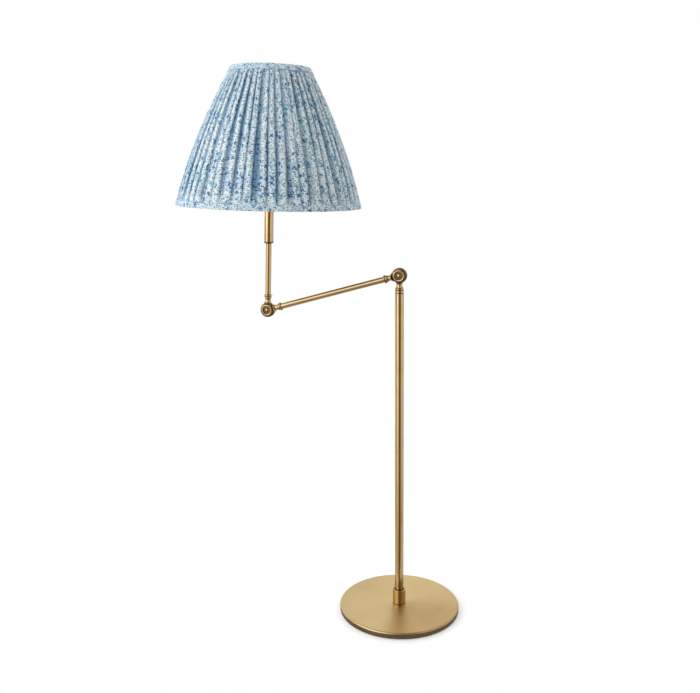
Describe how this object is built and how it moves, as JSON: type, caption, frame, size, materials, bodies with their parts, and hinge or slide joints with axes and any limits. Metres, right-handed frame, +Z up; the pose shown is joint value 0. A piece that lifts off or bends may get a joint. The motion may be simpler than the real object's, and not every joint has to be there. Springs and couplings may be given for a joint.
{
  "type": "bridge floor lamp",
  "caption": "Brass bridge floor lamp: weighted disc base, pole, swivelling arm with knuckle joints, upright stem and a bowed pleated fabric shade.",
  "frame": {"origin": "centre of the base's underside, on the floor", "axes": "+Z up along the pole; the arm reaches towards -X at rest; the front is -Y and both knuckles turn about Y"},
  "size_m": [0.6221, 0.4024, 1.1791],
  "materials": {
    "antique_brass": "satin",
    "yellow_brass": "satin",
    "zinc_steel": "satin",
    "cast_iron": "matte",
    "felt": "matte",
    "grommet": "matte",
    "white_ceramic": "satin",
    "ring_plastic": "satin",
    "frame_wire": "satin",
    "lining_cloth": "matte",
    "shade_cloth": "matte",
    "bulb_metal": "satin",
    "opal_glass": "gloss"
  },
  "bodies": {
    "root": {"base_felt": "felt", "base_weight": "cast_iron", "base_cover": "antique_brass", "cable_grommet": "grommet", "base_nipple": "yellow_brass", "base_washer": "zinc_steel", "base_nut": "yellow_brass", "pole_socket": "antique_brass", "pole_foot_plug": "yellow_brass", "pole": "antique_brass", "swivel_bush": "antique_brass"},
    "swivel": {"swivel_knuckle": "antique_brass", "swivel_washer": "zinc_steel", "swivel_nut": "yellow_brass", "shoulder_bolt": "antique_brass", "shoulder_cap_nut": "antique_brass", "shoulder_washer": "zinc_steel"},
    "arm": {"arm_shoulder_knuckle": "antique_brass", "arm_tube": "antique_brass", "arm_elbow_knuckle": "antique_brass"},
    "stem": {"stem_knuckle": "antique_brass", "elbow_bolt": "antique_brass", "elbow_cap_nut": "antique_brass", "elbow_washer": "zinc_steel", "stem_tube": "antique_brass", "holder_sleeve": "antique_brass", "holder_nipple": "yellow_brass", "holder_cap": "antique_brass", "holder_skirt": "antique_brass", "holder_core": "white_ceramic", "holder_shell": "yellow_brass", "holder_contact": "yellow_brass", "shade_ring_nut": "ring_plastic", "shade_fitter": "frame_wire", "shade_bottom_ring": "frame_wire", "shade_top_ring": "frame_wire", "shade_struts": "frame_wire", "shade_lining": "lining_cloth", "shade_fabric": "shade_cloth", "shade_bottom_band": "shade_cloth", "shade_top_band": "shade_cloth", "bulb_cap": "bulb_metal", "bulb_glass": "opal_glass"}
  },
  "joints": [
    {"name": "arm_swing", "type": "hinge", "parent": "root", "child": "swivel", "pos_m": [0, 0, 0.7], "axis": [0, 0, 1], "range_deg": [-165, 165]},
    {"name": "arm_tilt", "type": "hinge", "parent": "swivel", "child": "arm", "pos_m": [0, 0, 0.74], "axis": [0, 1, 0], "range_deg": [-8, 70]},
    {"name": "stem_tilt", "type": "hinge", "parent": "arm", "child": "stem", "pos_m": [-0.2991, 0, 0.6548], "axis": [0, 1, 0], "range_deg": [-90, 6]}
  ]
}
